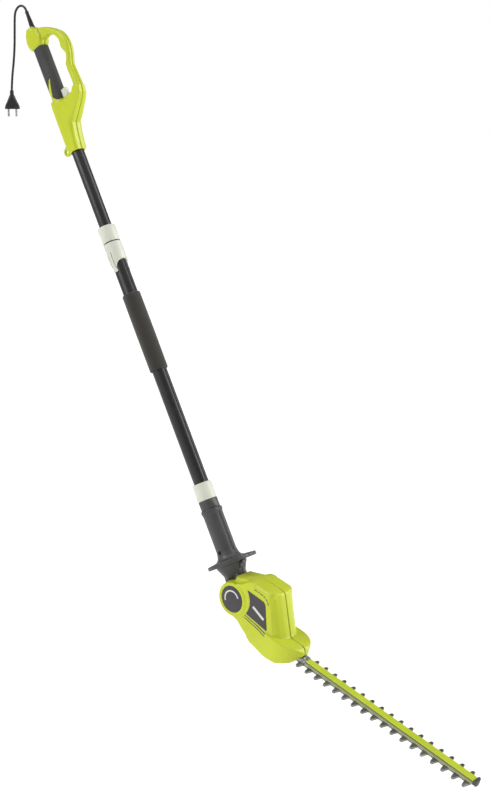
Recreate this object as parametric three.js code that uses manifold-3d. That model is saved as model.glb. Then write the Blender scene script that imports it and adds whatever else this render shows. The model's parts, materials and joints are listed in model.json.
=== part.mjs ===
// Corded telescopic pole hedge trimmer: rear handle on the telescoping inner tube, foam front grip on the
// outer tube, tilting cutter head with motor and gear drive, and two reciprocating toothed blades.
//
// Millimetres, +Z up, +X forward along the blade, +Y to the tool's right side. The origin is the centre of
// the foam front grip on the pole's axis. Two nested groups carry their own axes:
//   pole group: +Z up the pole, +X to the front of the pole, heights measured from the tilt pivot
//   head group: +X along the blades, +Z away from the blades' upper face, origin on the tilt pivot
import * as THREE from "three";
import { mergeVertices } from "three/addons/utils/BufferGeometryUtils.js";
import Module from "manifold-3d";

const wasm = await Module();
wasm.setup();

// ---------------------------------------------------------------- driving dimensions
const GAP = 0.3; // between pieces that touch
const WALL = 3; // moulded housings
const POLE_LEAN = THREE.MathUtils.degToRad(28.2); // the pole leans back from upright
const BLADE_DIP = THREE.MathUtils.degToRad(16.8); // the blades point below level
const GRIP_CENTRE = 645; // up the pole from the tilt pivot

const OUTER_TUBE = { r: 17.5, wall: 1.3, bottom: 168, top: 870, notch: 1.6, notchDepth: 1.5 };
const INNER_TUBE = { r: 15, wall: 1.2, bottom: 430, top: 1165, notch: 3.2, notchDepth: 1.2 };
const FOAM = { r: 22, bottom: 549, top: 741 };
const LOCK_RING = { rBottom: 21.2, rTop: 22, bottom: 872.3, top: 911.7, collet: 19.5 };
const COLLAR = { r: 22, bottom: 799, top: 869.8, scallopR: 22, tongue: 5.5, slit: 1.5 };
const NUT = { rBottom: 23.3, rTop: 22.5, bottom: 228.8, top: 268.8, flutes: 14, bore: 21 };
const SOCKET = { r: 20, rThread: 22.4, bottom: 150, top: 262 };
const NECK = { r: 23.4, top: 206.6, guardTop: 86, guardR: 58, guardT: 5, rim: 8.5, bore: 14 };
const CONE = { r: 36, top: 73, rBottom: 22.6, bottom: 44 };
const BUTTON = { half: 8, bottom: 59, top: 72.4, tab: 3.6, reach: 43 };
const TONGUE = { r: 32, halfWidth: 18 };
const CABLE_COIL = { r: 8.5, bottom: 232, top: 900 };

const HANDLE = { base: 1108.7, bodyHalf: 18.5, capHalf: 16, bowHalf: 10 };
const GRIP = { t: 5.5, front: 20, side: 17, skin: 2.7, bottom: 1225, top: 1380 };
const CORD = { r: 2.75, sides: 10, exit: 1482, t: 3 };
const PLUG = { pinR: 2.4, pinLength: 19, pinPitch: 19, turn: THREE.MathUtils.degToRad(47) };

const HEAD = { halfWidth: 38, round: 9, bossR: 41, toeHalf: 46, toeTop: -20, noseSlope: 0.5, nose: 24, step: 1.6 };
const PIVOT = { boltR: 5, capR: 30.6, capDepth: 2.6, hubR: 11 };
const MOTOR = { x: 84, statorR: 27, statorBore: 17.2, armatureR: 16.6, shaftR: 3, fanR: 25 };
const GEARS = { module: 1, pinionTeeth: 13, gearTeeth: 39, pressure: 20, backlash: 0.16, top: -23, face: 7 };
const CRANK = { throw: 6.5, r: 10.5, pinR: 2.5, hubR: 6.5 };
const BLADE = {
  thickness: 2.2, upper: -50.7, lower: -53.2, bar: 10.8, tip: 28.5, pitch: 26, first: 204, end: 653,
  leftTeeth: 18, rightTeeth: 17, rightShift: 17, rootHalf: 6.5, tipHalf: 3.2,
};
const TIP_GUARD = { half: 11, straight: 3, round: 5, lipInside: 661.3, lipBottom: -53.5 };
const RAIL = { start: 212.3, end: 656, bottom: -50.4, top: -43, topHalf: 9, half: 12.5, ledge: 2.2 };
const RAIL_SCREWS = [252, 408, 564];
const HEAD_SCREWS = [[41, 49], [45, -38], [153, -33]];
const HANDLE_SCREWS = [[10, 1176, 18.5], [62, 1214, 14.4], [22, 1402, 16]];

// ---------------------------------------------------------------- materials
const finish = (color, roughness, metalness = 0) =>
  new THREE.MeshStandardMaterial({ color, roughness, metalness });
const LIME = finish("#cddc32", 0.4);
const CHARCOAL = finish("#4b4b49", 0.6);
const TUBE_BLACK = finish("#2a2a29", 0.35, 0.3);
const PALE = finish("#e0e3d6", 0.5);
const FOAM_BROWN = finish("#37322a", 0.95);
const RUBBER = finish("#161616", 0.7);
const STEEL = finish("#8c8c88", 0.35, 0.9);
const BRIGHT = finish("#d0d0cc", 0.3, 0.9);
const COPPER = finish("#a8683a", 0.4, 0.8);
const NYLON = finish("#d9d5c4", 0.6);

// ---------------------------------------------------------------- solids from three.js geometry
function solid(geometry) {
  const bare = geometry.clone();
  bare.deleteAttribute("normal");
  bare.deleteAttribute("uv");
  const merged = mergeVertices(bare, 1e-4);
  const corners = [];
  for (let i = 0; i < merged.index.count; i += 3) {
    const [a, b, c] = [0, 1, 2].map((k) => merged.index.getX(i + k));
    if (a !== b && b !== c && c !== a) corners.push(a, b, c);
  }
  const vertProperties = new Float32Array(merged.attributes.position.array);
  const build = (triVerts) =>
    new wasm.Manifold(new wasm.Mesh({ numProp: 3, vertProperties, triVerts: new Uint32Array(triVerts) }));
  const made = build(corners);
  return made.volume() > 0 ? made : build(corners.reverse());
}

const shapeOf = (points) => new THREE.Shape(points.map(([u, v]) => new THREE.Vector2(u, v)));

function arc(cu, cv, r, from, to, steps, rv = r) {
  return Array.from({ length: steps + 1 }, (_, i) => {
    const angle = THREE.MathUtils.degToRad(from + ((to - from) * i) / steps);
    return [cu + r * Math.cos(angle), cv + rv * Math.sin(angle)];
  });
}

// Moves each corner of a closed outline inwards by the same distance from both of its sides.
function inset(points, distance) {
  const turn = THREE.ShapeUtils.area(points.map(([u, v]) => new THREE.Vector2(u, v))) > 0 ? 1 : -1;
  return points.map((point, i) => {
    const before = points[(i + points.length - 1) % points.length];
    const after = points[(i + 1) % points.length];
    const side = (a, b) => new THREE.Vector2(a[1] - b[1], b[0] - a[0]).normalize().multiplyScalar(turn);
    const n1 = side(before, point);
    const n2 = side(point, after);
    const reach = distance / Math.max(0.4, 1 + n1.dot(n2));
    return [point[0] + (n1.x + n2.x) * reach, point[1] + (n1.y + n2.y) * reach];
  });
}

// An outline in X and Y, extruded from z0 to z1.
function plate(points, z0, z1, holes = []) {
  const shape = shapeOf(points);
  shape.holes = holes.map(shapeOf);
  const geometry = new THREE.ExtrudeGeometry(shape, { depth: z1 - z0, bevelEnabled: false });
  return solid(geometry.translate(0, 0, z0));
}

// An outline in X and Z, extruded along Y from -halfWidth to halfWidth with rounded rims.
function slab(points, halfWidth, round = 0, steps = 2) {
  const depth = 2 * (halfWidth - round);
  const geometry = new THREE.ExtrudeGeometry(shapeOf(points), {
    depth,
    bevelEnabled: round > 0,
    bevelThickness: round,
    bevelSize: round,
    bevelOffset: -round,
    bevelSegments: steps,
  });
  return solid(geometry.translate(0, 0, -depth / 2).rotateX(Math.PI / 2));
}

// An outline in X and Z, extruded along Y from y0 to y1.
function sideSlab(points, y0, y1) {
  const geometry = new THREE.ExtrudeGeometry(shapeOf(points), { depth: y1 - y0, bevelEnabled: false });
  return solid(geometry.translate(0, 0, -y1).rotateX(Math.PI / 2));
}

function box(x0, x1, y0, y1, z0, z1) {
  const geometry = new THREE.BoxGeometry(x1 - x0, y1 - y0, z1 - z0);
  return solid(geometry.translate((x0 + x1) / 2, (y0 + y1) / 2, (z0 + z1) / 2));
}

function rodZ(r, z0, z1, x = 0, y = 0, sides = 24, rTop = r) {
  const geometry = new THREE.CylinderGeometry(rTop, r, z1 - z0, sides).rotateX(Math.PI / 2);
  return solid(geometry.translate(x, y, (z0 + z1) / 2));
}

function rodY(r, y0, y1, x = 0, z = 0, sides = 24) {
  const geometry = new THREE.CylinderGeometry(r, r, y1 - y0, sides);
  return solid(geometry.translate(x, (y0 + y1) / 2, z));
}

// A profile of [radius, height] points turned about Z; ring profiles close on themselves.
function turned(profile, sides = 36) {
  const points = profile.map(([r, z]) => new THREE.Vector2(r, z));
  return solid(new THREE.LatheGeometry(points, sides).rotateX(Math.PI / 2));
}

const ring = (r0, r1, z0, z1, sides = 36) =>
  turned([[r0, z0], [r1, z0], [r1, z1], [r0, z1], [r0, z0]], sides);

const FAR = 2000;
const leftHalf = (body) => body.intersect(box(-FAR, FAR, -FAR, -GAP / 2, -FAR, FAR));
const rightHalf = (body) => body.intersect(box(-FAR, FAR, GAP / 2, FAR, -FAR, FAR));
const joined = (...bodies) => bodies.reduce((sum, body) => sum.add(body));

function node(group, name, body, material) {
  const { vertProperties, triVerts } = body.getMesh();
  const geometry = new THREE.BufferGeometry();
  geometry.setAttribute("position", new THREE.BufferAttribute(new Float32Array(vertProperties), 3));
  geometry.setIndex(new THREE.BufferAttribute(new Uint32Array(triVerts), 1));
  geometry.computeVertexNormals();
  const mesh = new THREE.Mesh(geometry, material);
  mesh.name = name;
  group.add(mesh);
}

// A self-tapping screw along Y: its head is at headY, and it points towards -Y.
function crossScrew(x, z, headY, length, headR = 3.6, shankR = 1.7) {
  const shank = rodY(shankR, headY - length, headY, x, z, 8);
  const slot = box(x - 2.4, x + 2.4, headY + 1.4, headY + 4, z - 0.5, z + 0.5);
  return shank.add(rodY(headR, headY, headY + 2.4, x, z, 12)).subtract(slot);
}

// The hole that the screw above needs, with a wide mouth for its head.
const screwHole = (x, z, headY, length, mouthY) =>
  rodY(2.1, headY - length - 1, headY, x, z, 8).add(rodY(4.4, headY - 0.3, mouthY, x, z, 14));

// ---------------------------------------------------------------- pole
// A round section with a flat-bottomed notch along its front.
function notchedCircle(r, halfNotch, depth, steps = 34) {
  const edge = THREE.MathUtils.radToDeg(Math.asin(halfNotch / r));
  const floor = r - depth;
  return [...arc(0, 0, r, edge, 360 - edge, steps), [floor, -halfNotch], [floor, halfNotch]];
}

function keyedTube({ r, wall, bottom, top, notch, notchDepth }) {
  const outline = notchedCircle(r, notch, notchDepth);
  const bore = notchedCircle(r - wall, notch + wall, notchDepth);
  return plate(outline, bottom, top, [bore]);
}

function collarBody() {
  const { r, bottom, top, scallopR, tongue, slit } = COLLAR;
  const bore = OUTER_TUBE.r + GAP;
  const lip = 1.2;
  const profile = [[bore, bottom], [r - 0.4, bottom], [r, top - lip], [r - lip, top], [bore, top]];
  let body = turned([...profile, profile[0]]);
  [-1, 1].forEach((side) => {
    body = body.subtract(rodY(scallopR, -30, 30, side * (scallopR + tongue), bottom + 6, 40));
    const slot = box(side * tongue - slit / 2, side * tongue + slit / 2, -30, 30, bottom + 7, bottom + 48);
    body = body.subtract(slot);
  });
  return body;
}

function lockRing() {
  const { rBottom, rTop, bottom, top, collet } = LOCK_RING;
  const lip = top - 6;
  const cone = collet + 0.4;
  const mouth = INNER_TUBE.r + 0.8;
  const profile = [
    [cone, bottom], [rBottom - 0.6, bottom], [rBottom, bottom + 1.5], [rTop, top - 2], [rTop - 1.2, top],
    [mouth, top], [mouth, lip], [cone, lip], [cone, bottom],
  ];
  return turned(profile);
}

function collet() {
  const { bottom, top, collet: r } = LOCK_RING;
  const sleeve = ring(INNER_TUBE.r + GAP, r, bottom + 0.6, top - 7, 40);
  return sleeve.subtract(box(-r - 1, -10, -1.2, 1.2, bottom, top));
}

function couplingNut() {
  const { rBottom, rTop, bottom, top, flutes, bore } = NUT;
  const shell = turned([
    [bore, bottom], [rBottom - 0.8, bottom], [rBottom, bottom + 1.2], [rTop, top - 2], [rTop - 1.5, top],
    [OUTER_TUBE.r + 0.5, top], [OUTER_TUBE.r + 0.5, top - 5], [bore, top - 5], [bore, bottom],
  ]);
  const grooveR = 1.6;
  const depth = 0.45;
  return Array.from({ length: flutes }, (_, i) => (2 * Math.PI * i) / flutes).reduce((body, angle) => {
    const reach = rBottom + grooveR - depth;
    const groove = rodZ(grooveR, bottom + 6, top - 7, reach * Math.cos(angle), reach * Math.sin(angle), 10);
    return body.subtract(groove);
  }, shell);
}

function threadedSocket() {
  const { r, rThread, bottom, top } = SOCKET;
  const bore = OUTER_TUBE.r + GAP;
  const thread = NUT.bottom - GAP;
  const profile = [
    [NECK.bore, bottom], [r, bottom], [r, NECK.top + GAP], [rThread, NECK.top + GAP], [rThread, thread],
    [NUT.bore - 0.4, thread], [NUT.bore - 0.4, top], [bore, top], [bore, OUTER_TUBE.bottom - GAP],
    [NECK.bore, OUTER_TUBE.bottom - GAP], [NECK.bore, bottom],
  ];
  return turned(profile);
}

// The neck, the hand guard and the knuckle are one moulding, split along the pole.
function neckMoulding() {
  const { r, top, guardTop, guardR, guardT, rim, bore } = NECK;
  const outside = turned([
    [0, CONE.bottom], [CONE.rBottom, CONE.bottom], [CONE.r, CONE.top], [CONE.r, guardTop - rim + 2], [36, guardTop],
    [29, guardTop + 3], [25.6, guardTop + 9], [r, guardTop + 20], [r, top - 11], [r + 1.8, top - 8], [r + 1.8, top],
    [0, top],
  ]);
  const guard = turned([
    [0, guardTop - rim - 1], [CONE.r + 4, guardTop - rim - 1], [guardR - 1, guardTop - rim - 2.5],
    [guardR, guardTop - rim - 1.5], [guardR, guardTop - 3.6], [guardR - 1.2, guardTop - 2.2], [36, guardTop],
    [0, guardTop],
  ]).translate([guardT, 0, 0]);
  const seamRib = box(-r - 1.6, r + 1.6, -2.2, 2.2, guardTop + 6, top - 12);
  const knuckle = rodY(TONGUE.r, -TONGUE.halfWidth, TONGUE.halfWidth, 0, 0, 40);
  const web = box(-20, 20, -TONGUE.halfWidth, TONGUE.halfWidth, 0, CONE.bottom + 6);
  const hollow = turned([
    [0, 60], [bore, 64], [bore, SOCKET.bottom - GAP], [SOCKET.r + GAP, SOCKET.bottom - GAP],
    [SOCKET.r + GAP, top + 1], [0, top + 1],
  ]);
  const boltHole = rodY(PIVOT.boltR + GAP, -30, 30, 0, 0, 24);
  const buttonPocket = box(22, 46, -BUTTON.half - GAP, BUTTON.half + GAP, BUTTON.bottom - GAP, BUTTON.top + GAP);
  return joined(outside, guard, seamRib, knuckle, web).subtract(joined(hollow, boltHole, buttonPocket));
}

// A thumb tab that reaches out just below the hand guard.
function tiltButton() {
  const { half, bottom, top, tab, reach } = BUTTON;
  const face = [
    [27, bottom + 2], [29, bottom], [31, bottom], [34.5, top - tab - 2], [reach - 1, top - tab],
    [reach, top - tab + 1], [reach, top - 0.8], [reach - 1, top], [29, top], [27, top - 2],
  ];
  return slab(face, half, 1.2, 1);
}

function buildPole(group) {
  node(group, "outer_tube", keyedTube(OUTER_TUBE), TUBE_BLACK);
  node(group, "inner_tube", keyedTube(INNER_TUBE), TUBE_BLACK);
  const bushR = OUTER_TUBE.r - OUTER_TUBE.wall - GAP;
  const bushOutline = notchedCircle(bushR, INNER_TUBE.notch, bushR - 13.9, 36);
  const cablePath = arc(0, 0, 10, 0, 360, 24).slice(1);
  const flange = plate(bushOutline, INNER_TUBE.bottom - 7, INNER_TUBE.bottom - GAP, [cablePath]);
  const spigot = plate(arc(0, 0, 12.2, 0, 360, 24).slice(1), INNER_TUBE.bottom - 1, INNER_TUBE.bottom + 14, [cablePath]);
  node(group, "inner_tube_bush", flange.add(spigot), NYLON);
  node(group, "foam_grip", ring(OUTER_TUBE.r + GAP, FOAM.r, FOAM.bottom, FOAM.top), FOAM_BROWN);
  node(group, "collar_body", collarBody(), PALE);
  node(group, "lock_ring", lockRing(), PALE);
  node(group, "collet", collet(), NYLON);
  node(group, "coupling_nut", couplingNut(), PALE);
  node(group, "threaded_socket", threadedSocket(), CHARCOAL);
  const cable = rodZ(CABLE_COIL.r, CABLE_COIL.bottom, CABLE_COIL.top, 0, 0, 20);
  node(group, "coiled_inner_cable", cable, RUBBER);

  const screw = { z: 105, headY: 18.5, length: 34 };
  const hole = screwHole(0, screw.z, screw.headY, screw.length, 40).rotate([0, 0, 180]);
  const neck = neckMoulding().subtract(hole);
  node(group, "neck_shell_left", leftHalf(neck), CHARCOAL);
  node(group, "neck_shell_right", rightHalf(neck), CHARCOAL);
  node(group, "neck_screw", crossScrew(0, screw.z, screw.headY, screw.length).rotate([0, 0, 180]), STEEL);
  node(group, "tilt_release_button", tiltButton(), CHARCOAL);
}

// ---------------------------------------------------------------- rear handle
const BODY_OUTLINE = [
  [-17.5, 1108.7], [17.5, 1108.7], [19, 1122], [23, 1145], [30, 1172], [50, 1187], [73, 1206], [86, 1220],
  [90, 1236], [71, 1243], [63, 1233], [24, 1232], [16, 1235], [4, 1242], [-14.5, 1246], [-17, 1225], [-18, 1155],
];
const BOW_OUTLINE = [
  [60, 1196], [74, 1206], [86, 1220], [90, 1236], [89, 1256], [86.5, 1290], [90, 1301], [98, 1317], [101, 1332],
  [101, 1346], [97.5, 1362], [91, 1376], [73, 1394], [58, 1406], [42, 1416], [14, 1429], [0, 1425], [6, 1390],
  [26, 1389], [38, 1391], [50, 1390], [62, 1385], [72, 1374], [78, 1358], [77, 1349], [75, 1343], [77, 1336],
  [82, 1327], [84, 1320], [80, 1311], [71, 1299], [70.5, 1280], [71.5, 1262], [71.5, 1247], [63, 1226],
];
const CAP_OUTLINE = [
  [-8, 1437], [9, 1437], [15, 1429], [30, 1421], [32, 1400], [27, 1387], [20, 1380], [-12, 1380], [-19, 1388],
  [-22, 1397], [-22, 1410], [-18, 1424],
];
// Where the lime moulding shows below the soft grip: its lower rim, with one long tongue up each side.
const GRIP_RIM = [
  [-30, 1220], [40, 1220], [40, 1238], [14, 1239], [1, 1251], [14, 1298], [8, 1293], [-15, 1258], [-30, 1257],
];

function ellipseBar(front, side, z0, z1) {
  return plate(arc(GRIP.t, 0, front, 0, 360, 28, side).slice(1), z0, z1);
}

// The handle's body narrows towards the bow.
function bodyPlan(shrink) {
  const [wide, narrow] = [HANDLE.bodyHalf - shrink, HANDLE.bowHalf + 1.2 - shrink];
  const half = [[-FAR, wide], [30, wide], [88, narrow], [FAR, narrow]];
  return plate([...half, ...half.map(([t, y]) => [t, -y]).reverse()], 1100, 1260);
}

function handleMoulding() {
  const { front, side, skin, bottom, top } = GRIP;
  const core = ellipseBar(front - skin, side - skin, bottom, top + 8);
  const rim = ellipseBar(front, side, bottom, top).intersect(slab(GRIP_RIM, 30));
  const body = slab(BODY_OUTLINE, HANDLE.bodyHalf, 7, 2).intersect(bodyPlan(0));
  const bow = slab(BOW_OUTLINE, HANDLE.bowHalf, 5, 2);
  const cap = slab(CAP_OUTLINE, HANDLE.capHalf, 7, 2);
  const collar = rodZ(18.3, HANDLE.base, 1128, 0, 0, 40, 18.6);
  const eyeRing = rodY(11, -3.5, 3.5, -33, 1125, 28);
  const eyeWeb = box(-33, -14, -3.5, 3.5, 1117, 1138);
  return joined(core, rim, body, bow, cap, collar, eyeRing, eyeWeb);
}

function handleCavity() {
  const { front, side, skin, bottom, top } = GRIP;
  const tubeSeat = rodZ(INNER_TUBE.r + GAP, HANDLE.base - 1, INNER_TUBE.top + 1, 0, 0, 40);
  const bodyRoom = slab(inset(BODY_OUTLINE.filter(([, s]) => s > 1150), WALL + 0.5), HANDLE.bodyHalf - WALL, 4, 1);
  const aboveTube = box(-FAR, FAR, -FAR, FAR, INNER_TUBE.top + 0.5, FAR);
  const gripRoom = ellipseBar(front - skin - 2.6, side - skin - 2.6, bottom, top + 3);
  const capRoom = slab(inset(CAP_OUTLINE, WALL), HANDLE.capHalf - WALL, 3, 1);
  return joined(tubeSeat, bodyRoom.intersect(aboveTube).intersect(bodyPlan(WALL)), gripRoom, capRoom);
}

function handleShells() {
  const outside = handleMoulding();
  const posts = joined(...HANDLE_SCREWS.map(([t, s]) => rodY(4.6, -30, 30, t, s, 12))).intersect(outside);
  const holes = HANDLE_SCREWS.map(([t, s, half]) => screwHole(t, s, half - 5.5, half + 3, half + 2));
  const eyeHole = rodY(5, -10, 10, -34, 1125, 20);
  const cordHole = rodZ(6.6, 1420, 1440, CORD.t, 0, 24);
  const triggerWindow = box(16, 40, -5.8, 5.8, 1233.5, 1261);
  const buttonWindow = box(-30, -8, -4.3, 4.3, 1366.7, 1379.3);
  const shell = outside.subtract(handleCavity()).add(posts);
  return shell.subtract(joined(...holes, eyeHole, cordHole, triggerWindow, buttonWindow));
}

function gripSkin() {
  const { front, side, skin, bottom, top } = GRIP;
  const tube = ellipseBar(front, side, bottom, top - GAP).subtract(
    ellipseBar(front - skin + GAP, side - skin + GAP, bottom - 1, top + 1),
  );
  const rim = slab(GRIP_RIM.map(([t, s]) => [t, s + 0.4]), 30).add(slab(GRIP_RIM, 30));
  const triggerWindow = box(14, 40, -6.2, 6.2, 1225, 1262);
  const buttonWindow = box(-30, -5, -4.6, 4.6, 1366, 1384);
  return tube.subtract(joined(rim, triggerWindow, buttonWindow));
}

function trigger() {
  const blade = [[14, 1236], [40, 1237], [42, 1240], [40, 1246], [39.5, 1252], [41, 1257], [38, 1259], [14, 1259]];
  const stop = box(9, 14.5, -7.5, 7.5, 1238, 1257);
  return slab(blade, 5, 1.2, 1).add(stop);
}

function lockOffButton() {
  const cap = slab([[-6, 1368], [-16.5, 1369], [-17.5, 1373], [-16.5, 1377], [-6, 1378]], 3.6, 0.8, 1);
  return cap.add(box(-6.8, -4.8, -5.6, 5.6, 1366, 1380));
}

// A rod along X, from x0 to x1, at a height z.
function rodX(r, x0, x1, z, sides = 12) {
  const geometry = new THREE.CylinderGeometry(r, r, x1 - x0, sides).rotateZ(Math.PI / 2);
  return solid(geometry.translate((x0 + x1) / 2, 0, z));
}

function strainRelief() {
  const base = CORD.exit - 45;
  const bore = CORD.r + 0.35;
  const neck = CORD.exit - 5;
  const profile = [[bore, base - 8], [5.6, base - 8], [5.6, base + 0.6], [6.3, base + 0.6], [6.3, base + 4]];
  const ribCount = 4;
  const pitch = (neck - base - 6) / ribCount;
  for (let i = 0; i < ribCount; i += 1) {
    const z = base + 6 + i * pitch;
    const r = 6.1 - (2 * i) / ribCount;
    profile.push([r, z], [r - 0.7, z + pitch * 0.7]);
  }
  profile.push([4.1, neck], [4.5, neck + 0.5], [4.3, CORD.exit - 0.6], [3.6, CORD.exit], [bore, CORD.exit]);
  return turned([...profile, profile[0]], 14);
}

function buildHandle(group) {
  const shell = handleShells();
  const skin = gripSkin();
  node(group, "handle_shell_left", leftHalf(shell), LIME);
  node(group, "handle_shell_right", rightHalf(shell), LIME);
  node(group, "grip_skin_left", leftHalf(skin), CHARCOAL);
  node(group, "grip_skin_right", rightHalf(skin), CHARCOAL);
  node(group, "trigger", trigger(), PALE);
  node(group, "lock_off_button", lockOffButton(), RUBBER);
  const plunger = { r: 2, z: 1248 };
  const switchBody = box(-6, 2, -6.5, 6.5, 1236, 1262).add(box(-7, -5, -3, 3, 1254, 1270));
  node(group, "switch_block", switchBody.subtract(rodX(plunger.r + GAP, -5, 3, plunger.z)), RUBBER);
  node(group, "switch_plunger", rodX(plunger.r, 0.5, 9 - GAP, plunger.z), NYLON);
  node(group, "strain_relief", placed(strainRelief(), CORD.t, 0, 0), RUBBER);
  HANDLE_SCREWS.forEach(([t, s, half], i) => {
    node(group, `handle_screw_${i + 1}`, crossScrew(t, s, half - 5.2, half + 2), STEEL);
  });
}

function placed(body, x, y, z) {
  return body.translate([x, y, z]);
}

// ---------------------------------------------------------------- supply cord and plug, in the part's frame
const CORD_ROUTE = [
  [-392.8, 0, 739.0], [-395.3, 0, 743.6], [-399.2, 0, 748.0], [-404.0, 0, 751.0], [-409.6, 0, 752.9],
  [-415.4, 0, 753.3], [-421.2, 0, 752.1], [-426.5, 0, 749.5], [-431.0, 0, 745.8], [-434.6, 0, 741.0],
  [-437.2, 0, 734.0], [-438.8, 0, 724.0], [-440.0, 0, 708.0], [-441.2, 0, 688.0], [-442.8, 0, 666.0],
  [-445.8, 0, 642.0], [-450.4, 0, 616.0], [-455.6, 0, 592.0], [-458.9, 0, 570.0], [-460.1, 0, 558.0], [-460.2, 0, 552.5],
];
const CORD_STEPS = 26;

function supplyCord() {
  const points = CORD_ROUTE.map(([x, y, z]) => new THREE.Vector3(x, y, z));
  const section = shapeOf(arc(0, 0, CORD.r, 0, 360, CORD.sides).slice(1));
  const extrudePath = new THREE.CatmullRomCurve3(points);
  return solid(new THREE.ExtrudeGeometry(section, { steps: CORD_STEPS, extrudePath, bevelEnabled: false }));
}

// The plug hangs upright with its pins down; its own axis is Z and its wide way is X before it is turned.
function plugBody() {
  const oval = (halfX, halfY, z0, z1) => plate(arc(0, 0, halfX, 0, 360, 20, halfY).slice(1), z0, z1);
  const neck = rodZ(5.6, 30, 45.4, 0, 0, 14, 4.4);
  const shoulders = turned([[0, 6], [17.5, 6], [16.6, 10], [12.5, 18], [9, 26], [6.2, 33], [0, 33]], 20);
  const flat = box(-20, 20, -8.2, 8.2, 0, 40);
  const face = oval(18.3, 8.6, 0, 6);
  const grooves = joined(...[33, 36.5, 40].map((z) => ring(4.6, 7, z, z + 1.4, 14)));
  const cordHole = rodZ(CORD.r + 0.6, 41, 50, 0, 0, 12);
  const body = joined(neck, shoulders.intersect(flat), face).subtract(grooves).subtract(cordHole);
  const pinHoles = [-1, 1].map((side) => rodZ(PLUG.pinR + 0.1, -1, 7, (side * PLUG.pinPitch) / 2, 0, 12));
  return body.subtract(joined(...pinHoles));
}

function plugPin(side) {
  const { pinR, pinLength, pinPitch } = PLUG;
  const profile = [[0, -pinLength], [pinR - 1, -pinLength], [pinR, 1.5 - pinLength], [pinR, 6.7], [0, 6.7]];
  return placed(turned(profile, 12), (side * pinPitch) / 2, 0, 0);
}

function buildCord(group) {
  node(group, "supply_cord", supplyCord(), RUBBER);
  const plug = new THREE.Group();
  const end = CORD_ROUTE[CORD_ROUTE.length - 1];
  const seat = 41.3;
  plug.position.set(end[0] - 0.3, end[1], end[2] - seat);
  plug.rotation.z = PLUG.turn;
  group.add(plug);
  node(plug, "plug_body", plugBody(), RUBBER);
  node(plug, "plug_pin_left", plugPin(-1), BRIGHT);
  node(plug, "plug_pin_right", plugPin(1), BRIGHT);
}

// ---------------------------------------------------------------- cutter head
const HEAD_TOP = [[7, 40.5], [16, 50], [25, 59.5], [34, 66.5], [46, 70], [60, 71.5], [98, 71.5], [107, 69], [112, 62]];
const HEAD_BELLY = [[158, -70], [120, -75], [73, -70.5], [45, -57], [26, -45.5], [8, -41.2]];
const TOE_SIDE = [
  [56, -40], [88, -20], [186, -20], [194, -23], [199, -29], [200, -35], [198, -44], [186, -57], [158, -70],
  [120, -75], [73, -70.5], [56, -62],
];
// Where the nose of the motor hump is stepped in from the flat side faces.
const NOSE_STEP = [[107, 80], [103.5, 52], [131, -20], [190, -20], [190, 80]];
// The housing closes in front of the neck with a narrower crown.
const CROWN = { outline: [[-16, 28], [-14, 50], [-4, 52.5], [21, 62], [40, 68.5], [60, 71], [60, 28]], half: 27 };
// The neck leaves the head at 135 degrees from the blade and swings back from there.
const SWING = { from: 105, to: 258, r: 130 };
// The cheeks beside the knuckle keep their full width up to the neck.
const CHEEK_TOP = [[0, 0], [0, 41], [16, 50], [25, 59.5], [34, 66.5], [46, 70], [54, 69], [60, 0]];

function headProfile() {
  const nose = [[153, -20], [160, -32]];
  const boss = arc(0, 0, HEAD.bossR, 280, 80, 18);
  return [...HEAD_TOP, ...nose, ...HEAD_BELLY, ...boss.slice(1, -1)];
}

// The motor hump's rounded nose: a plan outline that leans forward towards the blades.
function noseEnvelope(shrink) {
  const half = HEAD.halfWidth + 1 - shrink;
  const apexAtZero = 115 + 60 * HEAD.noseSlope - shrink;
  const curve = arc(apexAtZero - HEAD.nose, 0, HEAD.nose, -90, 90, shrink ? 8 : 12, half);
  const outline = [[-80, -half], ...curve, [-80, half]];
  const geometry = new THREE.ExtrudeGeometry(shapeOf(outline), { depth: 200, bevelEnabled: false });
  geometry.translate(0, 0, -100);
  const lean = new THREE.Matrix4().set(1, 0, -HEAD.noseSlope, 0, 0, 1, 0, 0, 0, 0, 1, 0, 0, 0, 0, 1);
  return solid(geometry.applyMatrix4(lean));
}

function toe(shrink) {
  const half = HEAD.toeHalf - shrink;
  const tip = 200 - shrink;
  const curve = arc(tip - 52, 0, 52, -90, 90, shrink ? 8 : 14, half);
  const rear = HEAD.halfWidth - 1 - shrink;
  const flank = [[60, rear - 1], [92, rear + 2], [118, half - 3.2], [134, half - 0.8]];
  const outline = [...flank.map(([x, y]) => [x, -y]), ...curve, ...flank.reverse()];
  const side = shrink ? inset(TOE_SIDE, shrink) : TOE_SIDE;
  return plate(outline, -90, 0).intersect(slab(side, 60));
}

function headVolume(shrink) {
  const profile = shrink ? inset(headProfile(), shrink) : headProfile();
  const round = HEAD.round - shrink;
  const main = slab(profile, HEAD.halfWidth - shrink, round, shrink ? 1 : 2);
  const nose = slab(NOSE_STEP, 60).subtract(noseEnvelope(shrink + HEAD.step));
  return main.intersect(noseEnvelope(shrink)).subtract(nose).add(toe(shrink));
}

// The room that the knuckle needs as the head tilts: it is turned about the pivot axis, over part of a turn.
function knuckleSweep() {
  const slot = TONGUE.halfWidth + 0.6;
  const start = CONE.bottom - 1.2;
  const spread = (CONE.r - CONE.rBottom) / (CONE.top - CONE.bottom);
  const half = (r) => CONE.rBottom + 1.4 + (r - start) * spread;
  const profile = [[0, -slot], [start, -slot], [start, -half(start)], [90, -half(90)]];
  const mirrored = profile.map(([r, y]) => [r, -y]).reverse();
  const points = [...profile, ...mirrored].map(([r, y]) => new THREE.Vector2(r, y));
  const wheel = solid(new THREE.LatheGeometry(points, 48));
  const sector = sideSlab([[0, 0], ...arc(0, 0, SWING.r, SWING.from, SWING.to, 6)], -60, 60);
  const hub = rodY(start, -slot, slot, 0, 0, 36);
  return wheel.intersect(sector).add(hub);
}

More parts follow.
